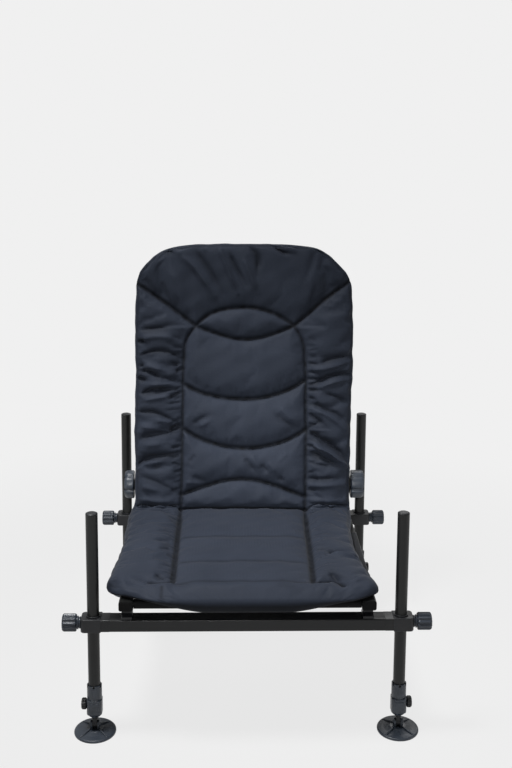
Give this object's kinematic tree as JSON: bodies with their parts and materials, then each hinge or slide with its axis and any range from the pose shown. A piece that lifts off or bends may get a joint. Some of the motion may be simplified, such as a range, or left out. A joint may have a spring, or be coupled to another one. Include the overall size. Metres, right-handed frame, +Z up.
{
  "type": "folding chair",
  "caption": "Low reclining bank chair: grooved crossbars on sliding legs with swivel mud feet, laced sling, quilted mattress and folding back.",
  "frame": {"origin": "on the floor, under the middle of the bounding box", "axes": "+Z up; +X to the right of someone who looks at the front of the chair; +Y towards the back"},
  "size_m": [0.7676, 0.7064, 0.9355],
  "materials": {
    "bar_black": "black anodised, satin, with fine grooves",
    "frame_black": "black powder coat, satin",
    "blue_grey_plastic": "dark blue-grey moulded nylon",
    "black_plastic": "black moulded nylon",
    "bolt_steel": "dull plated steel",
    "cushion_cloth": "soft brushed polyester, dark slate",
    "sling_cloth": "coated woven polyester, black",
    "elastic_cord": "black braided elastic"
  },
  "bodies": {
    "chair": {"front_crossbar": "bar_black", "crossbar_cap_front_left": "black_plastic", "crossbar_cap_front_right": "black_plastic", "rear_crossbar": "bar_black", "crossbar_cap_rear_left": "black_plastic", "crossbar_cap_rear_right": "black_plastic", "seat_rail_left": "frame_black", "seat_rail_right": "frame_black", "front_seat_tube": "frame_black", "rail_riser_front_left": "black_plastic", "rail_riser_front_right": "black_plastic", "rail_riser_rear_left": "black_plastic", "rail_riser_rear_right": "black_plastic", "recliner_bracket_left": "frame_black", "hinge_bolt_left": "bolt_steel", "recliner_bracket_right": "frame_black", "hinge_bolt_right": "bolt_steel", "seat_pad": "cushion_cloth", "sling_flap_left": "sling_cloth", "sling_flap_right": "sling_cloth", "lacing_cord": "elastic_cord"},
    "backrest": {"hinge_socket_left": "black_plastic", "hinge_socket_right": "black_plastic", "back_frame": "frame_black", "back_cross_tube": "frame_black", "back_pad": "cushion_cloth"},
    "clamp_knob_front_left": {"clamp_knob_front_left": "blue_grey_plastic"},
    "leg_front_left": {"leg_tube_front_left": "frame_black", "leg_plug_front_left": "black_plastic", "foot_block_front_left": "blue_grey_plastic"},
    "foot_knob_front_left": {"foot_knob_front_left": "black_plastic"},
    "foot_stem_front_left": {"foot_stem_front_left": "black_plastic"},
    "foot_disc_front_left": {"foot_disc_front_left": "blue_grey_plastic"},
    "clamp_knob_front_right": {"clamp_knob_front_right": "blue_grey_plastic"},
    "leg_front_right": {"leg_tube_front_right": "frame_black", "leg_plug_front_right": "black_plastic", "foot_block_front_right": "blue_grey_plastic"},
    "foot_knob_front_right": {"foot_knob_front_right": "black_plastic"},
    "foot_stem_front_right": {"foot_stem_front_right": "black_plastic"},
    "foot_disc_front_right": {"foot_disc_front_right": "blue_grey_plastic"},
    "clamp_knob_rear_left": {"clamp_knob_rear_left": "blue_grey_plastic"},
    "leg_rear_left": {"leg_tube_rear_left": "frame_black", "leg_plug_rear_left": "black_plastic", "foot_block_rear_left": "blue_grey_plastic"},
    "foot_knob_rear_left": {"foot_knob_rear_left": "black_plastic"},
    "foot_stem_rear_left": {"foot_stem_rear_left": "black_plastic"},
    "foot_disc_rear_left": {"foot_disc_rear_left": "blue_grey_plastic"},
    "clamp_knob_rear_right": {"clamp_knob_rear_right": "blue_grey_plastic"},
    "leg_rear_right": {"leg_tube_rear_right": "frame_black", "leg_plug_rear_right": "black_plastic", "foot_block_rear_right": "blue_grey_plastic"},
    "foot_knob_rear_right": {"foot_knob_rear_right": "black_plastic"},
    "foot_stem_rear_right": {"foot_stem_rear_right": "black_plastic"},
    "foot_disc_rear_right": {"foot_disc_rear_right": "blue_grey_plastic"},
    "recliner_knob_left": {"recliner_knob_left": "blue_grey_plastic"},
    "recliner_knob_right": {"recliner_knob_right": "blue_grey_plastic"}
  },
  "joints": [
    {"name": "leg_slide_front_left", "type": "slide", "parent": "chair", "child": "leg_front_left", "axis": [0, 0.0698, 0.9976], "range_m": [-0.2, 0.12]},
    {"name": "clamp_turn_front_left", "type": "hinge", "parent": "chair", "child": "clamp_knob_front_left", "pos_m": [-0.3483, -0.29336, 0.24402], "axis": [-1, 0, 0], "range_deg": [0, 540]},
    {"name": "foot_lock_turn_front_left", "type": "hinge", "parent": "leg_front_left", "child": "foot_knob_front_left", "pos_m": [-0.32, -0.30596, 0.06384], "axis": [-1, 0, 0], "range_deg": [0, 540]},
    {"name": "foot_swivel_front_left", "type": "hinge", "parent": "leg_front_left", "child": "foot_stem_front_left", "pos_m": [-0.32, -0.30917, 0.018], "axis": [0, 0.0698, 0.9976], "continuous": true},
    {"name": "foot_tilt_front_left", "type": "hinge", "parent": "foot_stem_front_left", "child": "foot_disc_front_left", "pos_m": [-0.32, -0.30917, 0.018], "axis": [1, 0, 0], "range_deg": [-25, 25]},
    {"name": "leg_slide_front_right", "type": "slide", "parent": "chair", "child": "leg_front_right", "axis": [0, 0.0698, 0.9976], "range_m": [-0.2, 0.12]},
    {"name": "clamp_turn_front_right", "type": "hinge", "parent": "chair", "child": "clamp_knob_front_right", "pos_m": [0.3483, -0.29336, 0.24402], "axis": [1, 0, 0], "range_deg": [0, 540]},
    {"name": "foot_lock_turn_front_right", "type": "hinge", "parent": "leg_front_right", "child": "foot_knob_front_right", "pos_m": [0.32, -0.30596, 0.06384], "axis": [1, 0, 0], "range_deg": [0, 540]},
    {"name": "foot_swivel_front_right", "type": "hinge", "parent": "leg_front_right", "child": "foot_stem_front_right", "pos_m": [0.32, -0.30917, 0.018], "axis": [0, 0.0698, 0.9976], "continuous": true},
    {"name": "foot_tilt_front_right", "type": "hinge", "parent": "foot_stem_front_right", "child": "foot_disc_front_right", "pos_m": [0.32, -0.30917, 0.018], "axis": [1, 0, 0], "range_deg": [-25, 25]},
    {"name": "leg_slide_rear_left", "type": "slide", "parent": "chair", "child": "leg_rear_left", "axis": [0, 0.0698, 0.9976], "range_m": [-0.2, 0.077]},
    {"name": "clamp_turn_rear_left", "type": "hinge", "parent": "chair", "child": "clamp_knob_rear_left", "pos_m": [-0.3323, 0.32114, 0.20105], "axis": [-1, 0, 0], "range_deg": [0, 540]},
    {"name": "foot_lock_turn_rear_left", "type": "hinge", "parent": "leg_rear_left", "child": "foot_knob_rear_left", "pos_m": [-0.304, 0.31154, 0.06384], "axis": [-1, 0, 0], "range_deg": [0, 540]},
    {"name": "foot_swivel_rear_left", "type": "hinge", "parent": "leg_rear_left", "child": "foot_stem_rear_left", "pos_m": [-0.304, 0.30834, 0.018], "axis": [0, 0.0698, 0.9976], "continuous": true},
    {"name": "foot_tilt_rear_left", "type": "hinge", "parent": "foot_stem_rear_left", "child": "foot_disc_rear_left", "pos_m": [-0.304, 0.30834, 0.018], "axis": [1, 0, 0], "range_deg": [-25, 25]},
    {"name": "leg_slide_rear_right", "type": "slide", "parent": "chair", "child": "leg_rear_right", "axis": [0, 0.0698, 0.9976], "range_m": [-0.2, 0.077]},
    {"name": "clamp_turn_rear_right", "type": "hinge", "parent": "chair", "child": "clamp_knob_rear_right", "pos_m": [0.3323, 0.32114, 0.20105], "axis": [1, 0, 0], "range_deg": [0, 540]},
    {"name": "foot_lock_turn_rear_right", "type": "hinge", "parent": "leg_rear_right", "child": "foot_knob_rear_right", "pos_m": [0.304, 0.31154, 0.06384], "axis": [1, 0, 0], "range_deg": [0, 540]},
    {"name": "foot_swivel_rear_right", "type": "hinge", "parent": "leg_rear_right", "child": "foot_stem_rear_right", "pos_m": [0.304, 0.30834, 0.018], "axis": [0, 0.0698, 0.9976], "continuous": true},
    {"name": "foot_tilt_rear_right", "type": "hinge", "parent": "foot_stem_rear_right", "child": "foot_disc_rear_right", "pos_m": [0.304, 0.30834, 0.018], "axis": [1, 0, 0], "range_deg": [-25, 25]},
    {"name": "backrest_hinge", "type": "hinge", "parent": "chair", "child": "backrest", "pos_m": [0, 0.21256, 0.33996], "axis": [1, 0, 0], "range_deg": [-37, 94]},
    {"name": "recliner_turn_left", "type": "hinge", "parent": "chair", "child": "recliner_knob_left", "pos_m": [0, 0.21256, 0.33996], "axis": [-1, 0, 0], "range_deg": [0, 360]},
    {"name": "recliner_turn_right", "type": "hinge", "parent": "chair", "child": "recliner_knob_right", "pos_m": [0, 0.21256, 0.33996], "axis": [1, 0, 0], "range_deg": [0, 360]}
  ]
}
